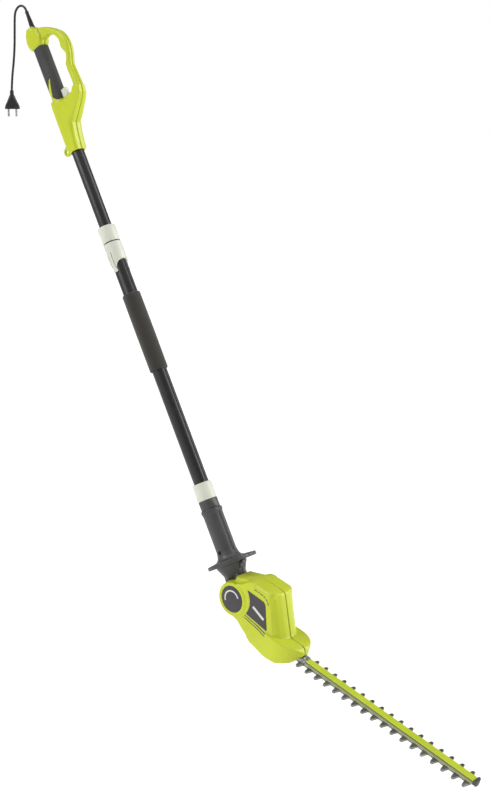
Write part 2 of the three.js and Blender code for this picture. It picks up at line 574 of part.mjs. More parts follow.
const PANEL = [
  [35.5, 45], [84, 43.6], [89.5, 40.5], [93, 35], [112, -17], [47, -10], [50.3, 2], [51.2, 14], [48, 27], [42, 37],
];

function headShells() {
  const hubs = [-1, 1].map((side) => {
    const [inner, outer] = [TONGUE.halfWidth + 0.6, HEAD.halfWidth];
    const [y0, y1] = side < 0 ? [-outer, -inner] : [inner, outer];
    const wall = side < 0 ? [-inner - WALL, -inner] : [inner, inner + WALL];
    return rodY(PIVOT.hubR + 3, y0, y1, 0, 0, 20).add(rodY(HEAD.bossR - 0.5, ...wall, 0, 0, 36));
  });
  const rings = [-1, 1].map((side) => {
    const face = HEAD.halfWidth + 0.8;
    const [y0, y1] = side < 0 ? [-face, -HEAD.halfWidth + 4] : [HEAD.halfWidth - 4, face];
    return rodY(HEAD.bossR - 2, y0, y1, 0, 0, 40);
  });
  const posts = joined(...HEAD_SCREWS.map(([x, z]) => rodY(4.6, -60, 60, x, z, 12)));
  const crown = slab(CROWN.outline, CROWN.half, 6, 2);
  const outside = joined(headVolume(0), slab(CHEEK_TOP, HEAD.halfWidth, 3, 1), crown);
  const body = joined(outside.subtract(headVolume(WALL)), ...hubs, ...rings, posts.intersect(outside));
  const capPocket = rodY(PIVOT.capR + GAP, HEAD.halfWidth - PIVOT.capDepth, 60, 0, 0, 40);
  const boltPocket = rodY(10, HEAD.halfWidth - 9, 60, 0, 0, 24);
  const pockets = capPocket.add(boltPocket);
  const bolt = rodY(PIVOT.boltR + GAP, -60, 60, 0, 0, 24);
  const panelPocket = sideSlab(inset(PANEL, -GAP), HEAD.halfWidth - 1.2, 60);
  const valley = rodY(HEAD.bossR + 3.5, HEAD.halfWidth - 1.6, 60, 0, 0, 40).subtract(rodY(HEAD.bossR, 0, 61, 0, 0, 40));
  const bladeExit = box(158, 215, -15.6, 15.6, -57, -42.6);
  const holes = HEAD_SCREWS.map(([x, z]) => screwHole(x, z, HEAD.halfWidth - 8, 46, 60));
  const both = [pockets, panelPocket, valley].flatMap((cut) => [cut, cut.mirror([0, 1, 0])]);
  return body.subtract(joined(knuckleSweep(), bolt, bladeExit, ...both, ...holes));
}

function pivotCap(side) {
  const { capR, capDepth } = PIVOT;
  const face = HEAD.halfWidth;
  const profile = [[0, face - capDepth + GAP], [capR, face - capDepth + GAP], [capR, face - 0.2], [capR - 1, face + 0.5], [0, face + 1]];
  const points = profile.map(([r, y]) => new THREE.Vector2(r, side * y));
  return solid(new THREE.LatheGeometry(points, 40));
}

function buildHousing(group) {
  const shell = headShells();
  node(group, "head_shell_left", leftHalf(shell), LIME);
  node(group, "head_shell_right", rightHalf(shell), LIME);
  node(group, "pivot_cap_left", pivotCap(-1), CHARCOAL);
  node(group, "pivot_cap_right", pivotCap(1), CHARCOAL);
  const headY = HEAD.halfWidth - 8.6;
  const bolt = joined(rodY(PIVOT.boltR, -headY, headY, 0, 0, 16), rodY(9, headY, headY + 5, 0, 0, 6), rodY(9, -headY - 5, -headY, 0, 0, 6));
  node(group, "pivot_bolt", bolt, STEEL);
  const panel = sideSlab(PANEL, HEAD.halfWidth - 1.2 + GAP, HEAD.halfWidth + 0.3);
  node(group, "side_panel_left", panel.mirror([0, 1, 0]), CHARCOAL);
  node(group, "side_panel_right", panel, CHARCOAL);
  HEAD_SCREWS.forEach(([x, z], i) => {
    node(group, `head_screw_${i + 1}`, crossScrew(x, z, HEAD.halfWidth - 7.7, 44), STEEL);
  });
}

// ---------------------------------------------------------------- motor and gears
// Outline of an involute spur gear with stub teeth, one tooth centred on the +X axis when phase is 0.
function gearOutline(teeth, phase) {
  const { module, pressure, backlash } = GEARS;
  const alpha = THREE.MathUtils.degToRad(pressure);
  const pitchR = (module * teeth) / 2;
  const baseR = pitchR * Math.cos(alpha);
  const rootR = pitchR - 0.95 * module;
  const tipR = pitchR + 0.7 * module;
  const involute = (r) => {
    const a = Math.acos(Math.min(1, baseR / r));
    return Math.tan(a) - a;
  };
  const atPitch = Math.PI / (2 * teeth) - backlash / (2 * pitchR);
  const halfAngle = (r) => atPitch + involute(pitchR) - involute(Math.max(r, baseR));
  const radii = [rootR, pitchR, tipR];
  const points = [];
  for (let i = 0; i < teeth; i += 1) {
    const centre = phase + (2 * Math.PI * i) / teeth;
    const flank = radii.map((r) => [r, halfAngle(r)]);
    flank.forEach(([r, a]) => points.push([r * Math.cos(centre - a), r * Math.sin(centre - a)]));
    flank.reverse().forEach(([r, a]) => points.push([r * Math.cos(centre + a), r * Math.sin(centre + a)]));
  }
  return points;
}

const gearCentre = MOTOR.x + (GEARS.module * (GEARS.pinionTeeth + GEARS.gearTeeth)) / 2;
const circle = (x, r, sides) => arc(x, 0, r, 0, 360, sides).slice(1);
const shifted = (points, x) => points.map(([u, v]) => [u + x, v]);

function coolingFan() {
  const disc = ring(MOTOR.shaftR + GAP, MOTOR.fanR, -6, -4.8, 28);
  const hub = ring(MOTOR.shaftR + GAP, 8, -13, -5, 14);
  const vanes = Array.from({ length: 7 }, (_, i) => {
    const vane = new THREE.BoxGeometry(16.5, 1.3, 8).translate(15.6, 0, -9.5);
    return solid(vane.rotateZ((2 * Math.PI * i) / 7));
  });
  return placed(joined(disc, hub, ...vanes), MOTOR.x, 0, 0);
}

function driveGear() {
  const { top, face, gearTeeth } = GEARS;
  const { throw: reach, r, hubR, pinR } = CRANK;
  const wheel = plate(shifted(gearOutline(gearTeeth, Math.PI / gearTeeth + Math.PI), gearCentre), top - face, top);
  const hub = rodZ(hubR, BLADE.upper + 0.2, top - 1, gearCentre, 0, 24);
  const upper = rodZ(r, BLADE.upper - BLADE.thickness, BLADE.upper + 0.3, gearCentre, reach, 32);
  const lowerTop = BLADE.upper - BLADE.thickness;
  const lower = rodZ(r, BLADE.lower - BLADE.thickness, lowerTop, gearCentre, -reach, 32);
  const bore = rodZ(pinR + GAP, -70, 0, gearCentre, 0, 20);
  return joined(wheel, hub, upper, lower).subtract(bore);
}

function buildDrive(group) {
  const { x, statorR, statorBore, armatureR, shaftR } = MOTOR;
  node(group, "motor_stator", placed(ring(statorBore, statorR, -2, 38), x, 0, 0), STEEL);
  const armature = turned([
    [0, -31], [shaftR, -31], [shaftR, 1], [armatureR, 1], [armatureR, 35], [6, 35], [6, 42], [10, 42], [10, 52],
    [shaftR, 52], [shaftR, 60], [0, 60],
  ], 24);
  node(group, "motor_armature", placed(armature, x, 0, 0), COPPER);
  node(group, "motor_bearing_upper", placed(ring(shaftR + GAP, 8, 54.5, 59.5, 16), x, 0, 0), BRIGHT);
  node(group, "motor_bearing_lower", placed(ring(shaftR + GAP, 8, -19.6, -14.6, 16), x, 0, 0), BRIGHT);
  [-1, 1].forEach((side) => {
    const [y0, y1] = side < 0 ? [-24, -10.3] : [10.3, 24];
    const brush = box(x - 3, x + 3, y0, y1, 43.5, 50.5);
    node(group, side < 0 ? "carbon_brush_left" : "carbon_brush_right", brush, RUBBER);
  });
  node(group, "cooling_fan", coolingFan(), NYLON);
  const pinion = plate(shifted(gearOutline(GEARS.pinionTeeth, 0), x), -31, -21, [circle(x, shaftR + GAP, 16)]);
  node(group, "motor_pinion", pinion, STEEL);
  node(group, "drive_gear", driveGear(), STEEL);
  node(group, "gear_pin", rodZ(CRANK.pinR, -61.5, -16.2, gearCentre, 0, 16), BRIGHT);
  const caseSide = [[60, -34.6], [124, -33.6], [137, -25.5], [143, -15]];
  const caseOutline = [...caseSide, ...caseSide.map(([x0, y]) => [x0, -y]).reverse()];
  const pinHole = circle(gearCentre, CRANK.pinR + GAP, 16);
  node(group, "gear_case", plate(caseOutline, -20, -15, [circle(x, 8 + GAP, 24), pinHole]), BRIGHT);
  const coverOutline = [[80, -22], [88, -28], [140, -28], [150, -20], [150, 20], [140, 28], [88, 28], [80, 22]];
  node(group, "gear_cover", plate(coverOutline, -62, -58.6, [pinHole]), BRIGHT);
}

// ---------------------------------------------------------------- blades
function slot(x, half, r, sides = 4) {
  return [...arc(x - half, 0, r, 90, 270, sides), ...arc(x + half, 0, r, -90, 90, sides)];
}

function tooth(x, side) {
  const { bar, tip, rootHalf, tipHalf } = BLADE;
  const corner = 1.2;
  const profile = [
    [-rootHalf, bar], [-tipHalf, tip - corner], [-tipHalf + corner, tip],
    [tipHalf - corner, tip], [tipHalf, tip - corner], [rootHalf, bar],
  ];
  const points = profile.map(([u, v]) => [x + u, side * v]);
  return side < 0 ? points : points.reverse();
}

function bladeOutline() {
  const { bar, pitch, first, end, leftTeeth, rightTeeth, rightShift } = BLADE;
  const [rear, front, yokeHalf, strap] = [gearCentre - 28, gearCentre + 28, 22, 7.5];
  const left = Array.from({ length: leftTeeth }, (_, i) => tooth(first + pitch * i, -1)).flat();
  const right = Array.from({ length: rightTeeth }, (_, i) => tooth(first + rightShift + pitch * i, 1));
  const nose = 2;
  return [
    [rear, -yokeHalf + 4], [rear + 4, -yokeHalf], [front - 6, -yokeHalf], [front + 4, -strap], [186, -strap], [190, -bar],
    ...left, [end, -bar + nose], [end, bar - nose], [end - nose, bar], ...right.reverse().flat(),
    [190, bar], [186, strap], [front + 4, strap], [front - 6, yokeHalf], [rear + 4, yokeHalf], [rear, yokeHalf - 4],
  ];
}

function blade(top) {
  const room = CRANK.throw + CRANK.r + 0.7;
  const [halfX, halfY, corner] = [room + CRANK.throw, room, 8];
  const yoke = [
    [halfX - corner, -halfY], [halfX, -halfY + corner], [halfX, halfY - corner], [halfX - corner, halfY],
    [corner - halfX, halfY], [-halfX, halfY - corner], [-halfX, corner - halfY], [corner - halfX, -halfY],
  ];
  const slots = RAIL_SCREWS.map((x) => slot(x, CRANK.throw + 0.5, 2.9));
  return plate(bladeOutline(), top - BLADE.thickness, top, [shifted(yoke, gearCentre), ...slots]);
}

// A section in Y and Z carried along X.
function beam(section, x0, x1) {
  const geometry = new THREE.ExtrudeGeometry(shapeOf(section), { depth: x1 - x0, bevelEnabled: false });
  const onto = new THREE.Matrix4().set(0, 0, 1, x0, 1, 0, 0, 0, 0, 1, 0, 0, 0, 0, 0, 1);
  return solid(geometry.applyMatrix4(onto));
}

function guideRail() {
  const { start, end, bottom, top, topHalf, half, ledge } = RAIL;
  const section = [
    [-half, bottom], [half, bottom], [half, bottom + ledge - 0.6], [half - 0.6, bottom + ledge], [topHalf + 1.4, bottom + ledge + 0.4],
    [topHalf, top - 0.8], [topHalf - 0.8, top], [-topHalf + 0.8, top], [-topHalf, top - 0.8],
    [-topHalf - 1.4, bottom + ledge + 0.4], [-half + 0.6, bottom + ledge], [-half, bottom + ledge - 0.6],
  ];
  const holes = RAIL_SCREWS.map((x) => rodZ(2.5 + GAP, bottom - 1, top - 2, x, 0, 16));
  return beam(section, start, end).subtract(joined(...holes));
}

function bladeBracket() {
  const outline = [
    [142, -12], [208, -12], [212, -8.5], [212, 8.5], [208, 12], [142, 12],
  ];
  const body = plate(outline, RAIL.bottom, RAIL.top - 0.6, [circle(196, 3.6, 20)]);
  const channel = box(186, 220, -4.4, 4.4, RAIL.top - 2.2, RAIL.top + 2);
  return body.subtract(channel.subtract(box(189.5, 202.5, -6, 6, -60, -30)));
}

// A bar across the end of the rail, with a short lip in front of the blade tips.
function tipGuard() {
  const { half, straight, round, lipInside, lipBottom } = TIP_GUARD;
  const start = RAIL.end + GAP;
  const front = arc(start + straight, 0, round, -90, 90, 10, half);
  const cap = plate([[start, -half], ...front, [start, half]], RAIL.bottom, RAIL.top + 1.6);
  const lip = plate(arc(start + straight, 0, round, -60, 60, 8, half), lipBottom, RAIL.bottom + 1);
  return cap.add(lip.intersect(box(lipInside, start + 20, -20, 20, -60, 0)));
}

function railScrew(x) {
  const head = BLADE.lower - BLADE.thickness - GAP;
  const socket = rodZ(2.2, head - 3.5, head - 1.2, x, 0, 6);
  return joined(rodZ(2.5, head - 1, RAIL.top - 2.4, x, 0, 16), rodZ(5, head - 2.6, head, x, 0, 20, 5.4)).subtract(socket);
}

function buildBlades(group) {
  node(group, "upper_blade", blade(BLADE.upper), STEEL);
  node(group, "lower_blade", blade(BLADE.lower), STEEL);
  node(group, "guide_rail", guideRail(), LIME);
  node(group, "blade_bracket", bladeBracket(), BRIGHT);
  node(group, "tip_guard", tipGuard(), CHARCOAL);
  RAIL_SCREWS.forEach((x, i) => node(group, `rail_screw_${i + 1}`, railScrew(x), STEEL));
}

// ---------------------------------------------------------------- assembly
const trimmer = new THREE.Group();
const pole = new THREE.Group();
pole.rotation.y = -POLE_LEAN;
pole.position.set(GRIP_CENTRE * Math.sin(POLE_LEAN), 0, -GRIP_CENTRE * Math.cos(POLE_LEAN));
const head = new THREE.Group();
head.rotation.y = BLADE_DIP;
head.position.copy(pole.position);
trimmer.add(pole, head);

buildPole(pole);
buildHandle(pole);
buildCord(trimmer);
buildHousing(head);
buildDrive(head);
buildBlades(head);

export default trimmer;
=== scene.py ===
"""The looks of a corded telescopic pole hedge trimmer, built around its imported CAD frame.

Metres, +Z up, +X forward along the blade, +Y to the tool's right side. The origin is the centre of the foam
front grip, on the pole's axis. The pole leans back, and the blade dips below level.
"""

import json
import math

import bmesh
import bpy
from mathutils import Matrix, Vector
from mathutils.bvhtree import BVHTree

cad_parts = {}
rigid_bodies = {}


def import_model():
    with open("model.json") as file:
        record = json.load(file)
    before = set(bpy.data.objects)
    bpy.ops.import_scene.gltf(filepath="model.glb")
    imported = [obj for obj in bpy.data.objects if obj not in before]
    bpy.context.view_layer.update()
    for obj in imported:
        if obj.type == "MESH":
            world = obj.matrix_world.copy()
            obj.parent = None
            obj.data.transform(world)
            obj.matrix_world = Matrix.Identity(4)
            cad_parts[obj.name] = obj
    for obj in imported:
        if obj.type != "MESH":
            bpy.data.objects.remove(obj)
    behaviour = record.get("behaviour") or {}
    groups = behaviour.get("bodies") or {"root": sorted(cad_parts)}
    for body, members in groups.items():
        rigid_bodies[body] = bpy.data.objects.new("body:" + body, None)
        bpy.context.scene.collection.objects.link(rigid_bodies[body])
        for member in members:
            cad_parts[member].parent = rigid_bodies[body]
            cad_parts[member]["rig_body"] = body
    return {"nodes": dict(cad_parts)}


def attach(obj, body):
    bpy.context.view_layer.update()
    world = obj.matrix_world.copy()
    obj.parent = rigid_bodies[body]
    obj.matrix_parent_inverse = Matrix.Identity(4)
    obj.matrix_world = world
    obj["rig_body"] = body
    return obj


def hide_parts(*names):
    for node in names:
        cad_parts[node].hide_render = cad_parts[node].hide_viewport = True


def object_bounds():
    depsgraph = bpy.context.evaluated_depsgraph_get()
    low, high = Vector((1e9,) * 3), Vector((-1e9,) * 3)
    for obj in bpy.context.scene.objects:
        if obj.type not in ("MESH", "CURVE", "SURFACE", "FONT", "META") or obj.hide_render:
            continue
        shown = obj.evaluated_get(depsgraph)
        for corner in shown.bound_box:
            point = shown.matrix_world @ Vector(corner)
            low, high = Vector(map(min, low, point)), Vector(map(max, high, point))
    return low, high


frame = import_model()
cad_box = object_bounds()

MM = 0.001
POLE_LEAN = math.radians(28.2)
BLADE_DIP = math.radians(16.8)
GRIP_CENTRE = 645 * MM  # up the pole from the tilt pivot
PIVOT = Vector((GRIP_CENTRE * math.sin(POLE_LEAN), 0, -GRIP_CENTRE * math.cos(POLE_LEAN)))
POLE = Matrix.Translation(PIVOT) @ Matrix.Rotation(-POLE_LEAN, 4, "Y")
HEAD = Matrix.Translation(PIVOT) @ Matrix.Rotation(BLADE_DIP, 4, "Y")
SCENE = bpy.context.scene
WELD = 2e-6  # how far apart two vertices may lie and still be joined
SLIVER = 1e-6


# ---------------------------------------------------------------- camera
CAMERA_PLACE = Vector((2.0828, -1.995, 0.4395))
CAMERA_LOOK = Vector((-0.6501, 0.7318, -0.2047))
LENS, SENSOR_WIDTH, FARTHEST = 56.25, 36, 60


def aim(piece, target):
    """Turns a camera or a light so that it faces a point."""
    piece.rotation_euler = (Vector(target) - piece.location).to_track_quat("-Z", "Y").to_euler()


def make_camera():
    data = bpy.data.cameras.new("camera")
    data.lens = LENS
    data.sensor_width = SENSOR_WIDTH
    data.clip_end = FARTHEST
    camera = bpy.data.objects.new("camera", data)
    SCENE.collection.objects.link(camera)
    camera.location = CAMERA_PLACE
    aim(camera, camera.location + CAMERA_LOOK)
    SCENE.camera = camera


make_camera()
bpy.context.scene.camera = SCENE.camera


# ---------------------------------------------------------------- mesh helpers
def link(name, mesh):
    piece = bpy.data.objects.new(name, mesh)
    SCENE.collection.objects.link(piece)
    return piece


def from_bmesh(name, bm, place=None):
    if place:
        bmesh.ops.transform(bm, matrix=place, verts=bm.verts)
    bmesh.ops.recalc_face_normals(bm, faces=bm.faces)
    mesh = bpy.data.meshes.new(name)
    bm.to_mesh(mesh)
    bm.free()
    return link(name, mesh)


def shade(piece, angle):
    """Smooth shading, with edges sharper than the angle kept crisp."""
    for polygon in piece.data.polygons:
        polygon.use_smooth = True
    piece.data.set_sharp_from_angle(angle=math.radians(angle))


def rounded(piece, width, segments, angle):
    """A small round on each crisp edge."""
    bevel = piece.modifiers.new("edge round", "BEVEL")
    bevel.width = width
    bevel.segments = segments
    bevel.limit_method = "ANGLE"
    bevel.angle_limit = math.radians(angle)
    bevel.harden_normals = True
    bevel.use_clamp_overlap = True


def welded_copy(name, node):
    """A copy of a CAD node's mesh with its loose triangles joined."""
    bm = bmesh.new()
    bm.from_mesh(frame["nodes"][node].data)
    bmesh.ops.remove_doubles(bm, verts=bm.verts, dist=WELD)
    bmesh.ops.dissolve_degenerate(bm, edges=bm.edges, dist=SLIVER)
    mesh = bpy.data.meshes.new(name)
    bm.to_mesh(mesh)
    bm.free()
    return link(name, mesh)


def body_of(node):
    return frame["nodes"][node]["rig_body"]


def settle(piece, node, material):
    """The piece takes a CAD node's place, body and material slot."""
    piece.data.materials.clear()
    piece.data.materials.append(material)
    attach(piece, body_of(node))
    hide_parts(node)
    return piece


def machined(node, material, width=0.4 * MM, segments=2, angle=32):
    """A CAD node with a small round on its crisp edges."""
    piece = welded_copy(node + "_finished", node)
    shade(piece, angle)
    rounded(piece, width, segments, angle)
    return settle(piece, node, material)


def moulded(node, material, voxel, passes):
    """A CAD node remade as one soft-edged moulding."""
    piece = welded_copy(node + "_moulding", node)
    remesh = piece.modifiers.new("remesh", "REMESH")
    remesh.mode = "VOXEL"
    remesh.voxel_size = voxel
    evaluated = piece.evaluated_get(bpy.context.evaluated_depsgraph_get())
    mesh = bpy.data.meshes.new_from_object(evaluated)
    piece.modifiers.clear()
    bm = bmesh.new()
    bm.from_mesh(mesh)
    for _ in range(passes):
        bmesh.ops.smooth_vert(
            bm, verts=bm.verts, factor=0.5, use_axis_x=True, use_axis_y=True, use_axis_z=True
        )
    bm.to_mesh(mesh)
    bm.free()
    piece.data = mesh
    for polygon in mesh.polygons:
        polygon.use_smooth = True
    return settle(piece, node, material)


def turned(name, profile, place, steps):
    """A closed profile of (radius, height) in millimetres, spun about Z."""
    bm = bmesh.new()
    verts = [bm.verts.new((r * MM, 0, z * MM)) for r, z in profile]
    edges = [bm.edges.new((a, b)) for a, b in zip(verts, verts[1:])]
    if profile[0][0] > 0 and profile[-1][0] > 0:
        edges.append(bm.edges.new((verts[-1], verts[0])))
    bmesh.ops.spin(
        bm, geom=verts + edges, axis=(0, 0, 1), cent=(0, 0, 0), angle=2 * math.pi, steps=steps, use_merge=True
    )
    bmesh.ops.remove_doubles(bm, verts=bm.verts, dist=SLIVER)
    return from_bmesh(name, bm, place)


# ---------------------------------------------------------------- shader groups
def new_group(name, inputs, outputs):
    tree = bpy.data.node_groups.new(name, "ShaderNodeTree")
    for label, kind, value in inputs:
        socket = tree.interface.new_socket(label, in_out="INPUT", socket_type=kind)
        socket.default_value = value
    for label, kind in outputs:
        tree.interface.new_socket(label, in_out="OUTPUT", socket_type=kind)
    start = tree.nodes.new("NodeGroupInput")
    end = tree.nodes.new("NodeGroupOutput")
    return tree, start, end


def math_node(tree, operation, a, b=None, clamp=False):
    node = tree.nodes.new("ShaderNodeMath")
    node.operation = operation
    node.use_clamp = clamp
    for socket, value in zip(node.inputs, (a, b)):
        if value is None:
            continue
        if isinstance(value, (int, float)):
            socket.default_value = value
        else:
            tree.links.new(value, socket)
    return node.outputs[0]


def noise(tree, vector, scale, detail, roughness):
    node = tree.nodes.new("ShaderNodeTexNoise")
    node.inputs["Detail"].default_value = detail
    node.inputs["Roughness"].default_value = roughness
    if isinstance(scale, (int, float)):
        node.inputs["Scale"].default_value = scale
    else:
        tree.links.new(scale, node.inputs["Scale"])
    tree.links.new(vector, node.inputs["Vector"])
    return node.outputs["Fac"]


def remapped(tree, value, low, high, to_low=0.0, to_high=1.0):
    """Stretches a range of a value to another range, and holds it at the ends."""
    node = tree.nodes.new("ShaderNodeMapRange")
    tree.links.new(value, node.inputs["Value"])
    for label, number in (("From Min", low), ("From Max", high), ("To Min", to_low), ("To Max", to_high)):
        node.inputs[label].default_value = number
    return node.outputs["Result"]


def masked(tree, a, b, amount):
    """Two masks multiplied, and scaled by the group's Amount."""
    return math_node(tree, "MULTIPLY", math_node(tree, "MULTIPLY", a, b), amount, clamp=True)


def edge_wear_group():
    """A mask that is 1 on worn corners: where a rounded normal leaves the true one, broken up by noise."""
    tree, start, end = new_group(
        "edge wear",
        [("Radius", "NodeSocketFloat", 0.001), ("Amount", "NodeSocketFloat", 0.5)],
        [("Mask", "NodeSocketFloat")],
    )
    coords = tree.nodes.new("ShaderNodeTexCoord")
    bevel = tree.nodes.new("ShaderNodeBevel")
    bevel.samples = 4
    tree.links.new(start.outputs["Radius"], bevel.inputs["Radius"])
    geometry = tree.nodes.new("ShaderNodeNewGeometry")
    dot = tree.nodes.new("ShaderNodeVectorMath")
    dot.operation = "DOT_PRODUCT"
    tree.links.new(bevel.outputs["Normal"], dot.inputs[0])
    tree.links.new(geometry.outputs["Normal"], dot.inputs[1])
    bend = math_node(tree, "SUBTRACT", 1.0, dot.outputs["Value"], clamp=True)
    edge = remapped(tree, bend, 0.04, 0.22)
    patches = remapped(tree, noise(tree, coords.outputs["Object"], 160, 5, 0.65), 0.35, 0.65)
    tree.links.new(masked(tree, edge, patches, start.outputs["Amount"]), end.inputs["Mask"])
    return tree


def grain_group():
    """Moulded or cast grain: a fine height, a slow tone, and faint handling smears."""
    tree, start, end = new_group(
        "surface grain",
        [("Grain Scale", "NodeSocketFloat", 2400.0), ("Tone Scale", "NodeSocketFloat", 14.0)],
        [("Height", "NodeSocketFloat"), ("Tone", "NodeSocketFloat"), ("Smears", "NodeSocketFloat")],
    )
    coords = tree.nodes.new("ShaderNodeTexCoord").outputs["Object"]
    height = noise(tree, coords, start.outputs["Grain Scale"], 2, 0.6)
    tone = remapped(tree, noise(tree, coords, start.outputs["Tone Scale"], 4, 0.55), 0.3, 0.7)
    smears = remapped(tree, noise(tree, coords, 55, 6, 0.7), 0.42, 0.68)
    tree.links.new(height, end.inputs["Height"])
    tree.links.new(tone, end.inputs["Tone"])
    tree.links.new(smears, end.inputs["Smears"])
    return tree


def drawn_group():
    """Fine lines along one direction, as on drawn tube, extrusions and ground steel."""
    tree, start, end = new_group(
        "drawn lines",
        [("Turn", "NodeSocketVector", (0.0, 0.0, 0.0)), ("Stretch", "NodeSocketVector", (1.0, 60.0, 60.0))],
        [("Lines", "NodeSocketFloat"), ("Marks", "NodeSocketFloat")],
    )
    coords = tree.nodes.new("ShaderNodeTexCoord").outputs["Object"]
    turn = tree.nodes.new("ShaderNodeMapping")
    tree.links.new(coords, turn.inputs["Vector"])
    tree.links.new(start.outputs["Turn"], turn.inputs["Rotation"])
    stretch = tree.nodes.new("ShaderNodeVectorMath")
    stretch.operation = "MULTIPLY"
    tree.links.new(turn.outputs["Vector"], stretch.inputs[0])
    tree.links.new(start.outputs["Stretch"], stretch.inputs[1])
    lines = noise(tree, stretch.outputs["Vector"], 26, 5, 0.7)
    marks = remapped(tree, noise(tree, stretch.outputs["Vector"], 5, 3, 0.8), 0.58, 0.72)
    tree.links.new(lines, end.inputs["Lines"])
    tree.links.new(marks, end.inputs["Marks"])
    return tree


def dust_group():
    """Dust that settles on faces that look up, in soft patches."""
    tree, start, end = new_group(
        "settled dust",
        [("Amount", "NodeSocketFloat", 0.2)],
        [("Mask", "NodeSocketFloat")],
    )
    coords = tree.nodes.new("ShaderNodeTexCoord").outputs["Object"]
    split = tree.nodes.new("ShaderNodeSeparateXYZ")
    tree.links.new(tree.nodes.new("ShaderNodeNewGeometry").outputs["Normal"], split.inputs[0])
    upward = remapped(tree, split.outputs["Z"], 0.2, 1.0)
    patches = remapped(tree, noise(tree, coords, 40, 5, 0.6), 0.4, 0.75)
    tree.links.new(masked(tree, upward, patches, start.outputs["Amount"]), end.inputs["Mask"])
    return tree


EDGE_WEAR = edge_wear_group()
GRAIN = grain_group()
DRAWN = drawn_group()
DUST = dust_group()


# ---------------------------------------------------------------- materials
class Finish:
    """One Principled material, with short calls for its varying colour, roughness and bump."""

    def __init__(self, name, **constants):
        self.material = bpy.data.materials.new(name)
        self.material.use_nodes = True
        self.tree = self.material.node_tree
        self.shader = self.tree.nodes["Principled BSDF"]
        for label, value in constants.items():
            self.shader.inputs[label.replace("_", " ")].default_value = value
        self.coords = self.tree.nodes.new("ShaderNodeTexCoord").outputs["Object"]

    def group(self, tree, **values):
        node = self.tree.nodes.new("ShaderNodeGroup")
        node.node_tree = tree
        for label, value in values.items():
            node.inputs[label.replace("_", " ")].default_value = value
        return node.outputs

    def mixed(self, mask, low, high):
        node = self.tree.nodes.new("ShaderNodeMix")
        node.data_type = "RGBA"
        self.tree.links.new(mask, node.inputs["Factor"])
        for socket, value in ((node.inputs[6], low), (node.inputs[7], high)):
            if isinstance(value, tuple):
                socket.default_value = (*value, 1)
            else:
                self.tree.links.new(value, socket)
        return node.outputs[2]

    def colour(self, value):
        self.tree.links.new(value, self.shader.inputs["Base Color"])

    def rough(self, value):
        self.tree.links.new(value, self.shader.inputs["Roughness"])

    def bump(self, height, depth, strength=1.0, under=None):
        node = self.tree.nodes.new("ShaderNodeBump")
        node.inputs["Distance"].default_value = depth
        node.inputs["Strength"].default_value = strength
        self.tree.links.new(height, node.inputs["Height"])
        if under:
            self.tree.links.new(under, node.inputs["Normal"])
        self.tree.links.new(node.outputs["Normal"], self.shader.inputs["Normal"])
        return node.outputs["Normal"]


DUST_AMOUNT = 0.12
DUST_COLOUR = (0.55, 0.53, 0.48)
PLASTIC_EDGE = 0.9 * MM


def plastic(name, base, dark, worn, rough, grain_scale, grain_depth, wear=0.5, **constants):
    """Moulded plastic: slow tone, faint smears in the gloss, paler worn corners and a little dust."""
    finish = Finish(name, **constants)
    grain = finish.group(GRAIN, Grain_Scale=grain_scale)
    edges = finish.group(EDGE_WEAR, Radius=PLASTIC_EDGE, Amount=wear)["Mask"]
    settled = finish.group(DUST, Amount=DUST_AMOUNT)["Mask"]
    body = finish.mixed(grain["Tone"], dark, base)
    body = finish.mixed(edges, body, worn)
    finish.colour(finish.mixed(settled, body, DUST_COLOUR))
    finish.rough(remapped(finish.tree, grain["Smears"], 0.0, 1.0, *rough))
    finish.bump(grain["Height"], grain_depth)
    return finish.material


def cross_hatch(finish, scale):
    """The height of a fine diamond pattern."""
    waves = []
    for turn in (45, -45):
        mapping = finish.tree.nodes.new("ShaderNodeMapping")
        mapping.inputs["Rotation"].default_value = (0, math.radians(turn) + POLE_LEAN, 0)
        finish.tree.links.new(finish.coords, mapping.inputs["Vector"])
        wave = finish.tree.nodes.new("ShaderNodeTexWave")
        wave.inputs["Scale"].default_value = scale
        finish.tree.links.new(mapping.outputs["Vector"], wave.inputs["Vector"])
        waves.append(wave.outputs["Fac"])
    return math_node(finish.tree, "MULTIPLY", *waves)


def soft_grip():
    """Dark overmoulded rubber with a fine diamond pattern."""
    finish = Finish("soft grip", Specular_IOR_Level=0.35)
    grain = finish.group(GRAIN, Grain_Scale=1500.0)
    edges = finish.group(EDGE_WEAR, Radius=1.5 * MM, Amount=0.4)["Mask"]
    body = finish.mixed(grain["Tone"], (0.04, 0.04, 0.041), (0.056, 0.056, 0.056))
    finish.colour(finish.mixed(edges, body, (0.14, 0.14, 0.135)))
    finish.rough(remapped(finish.tree, grain["Smears"], 0.0, 1.0, 0.72, 0.56))
    under = finish.bump(cross_hatch(finish, 130), 0.12 * MM, 0.6)
    finish.bump(grain["Height"], 0.04 * MM, 0.7, under)
    return finish.material


def tube_coating():
    """Black coated tube, drawn along the pole."""
    finish = Finish("black tube coating", Coat_Weight=0.12, Coat_Roughness=0.25)
    drawn = finish.group(DRAWN, Turn=(0.0, POLE_LEAN, 0.0), Stretch=(55.0, 55.0, 1.2))
    grain = finish.group(GRAIN, Grain_Scale=1800.0, Tone_Scale=9.0)
    edges = finish.group(EDGE_WEAR, Radius=0.8 * MM, Amount=0.6)["Mask"]
    body = finish.mixed(drawn["Marks"], (0.006, 0.006, 0.0065), (0.014, 0.014, 0.015))
    finish.colour(finish.mixed(edges, body, (0.3, 0.3, 0.3)))
    finish.rough(remapped(finish.tree, grain["Smears"], 0.0, 1.0, 0.42, 0.52))
    finish.bump(drawn["Lines"], 0.02 * MM, 0.5)
    return finish.material


